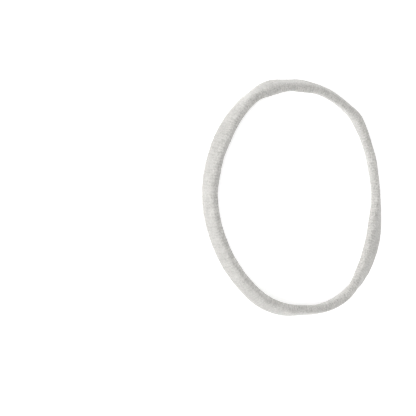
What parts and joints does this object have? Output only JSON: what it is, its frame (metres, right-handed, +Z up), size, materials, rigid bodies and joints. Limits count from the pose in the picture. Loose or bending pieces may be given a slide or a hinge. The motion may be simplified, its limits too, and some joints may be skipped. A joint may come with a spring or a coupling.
{
  "type": "nylon headband",
  "caption": "Soft, seamless loop of knitted nylon worn round the head, relaxed into a slightly uneven ring and lying on its lower edge.",
  "frame": {"origin": "on the surface that the loop lies on, below the middle of the loop's outline", "axes": "+Z up, through the head opening; +Y along the loop's longer way across; +X along its shorter way"},
  "size_m": [0.097, 0.1028, 0.0068],
  "materials": {
    "nylon_knit": "matte, soft, finely ribbed stretch knit in a warm pale grey"
  },
  "bodies": {
    "root": {"knit_band": "nylon_knit"}
  },
  "joints": []
}
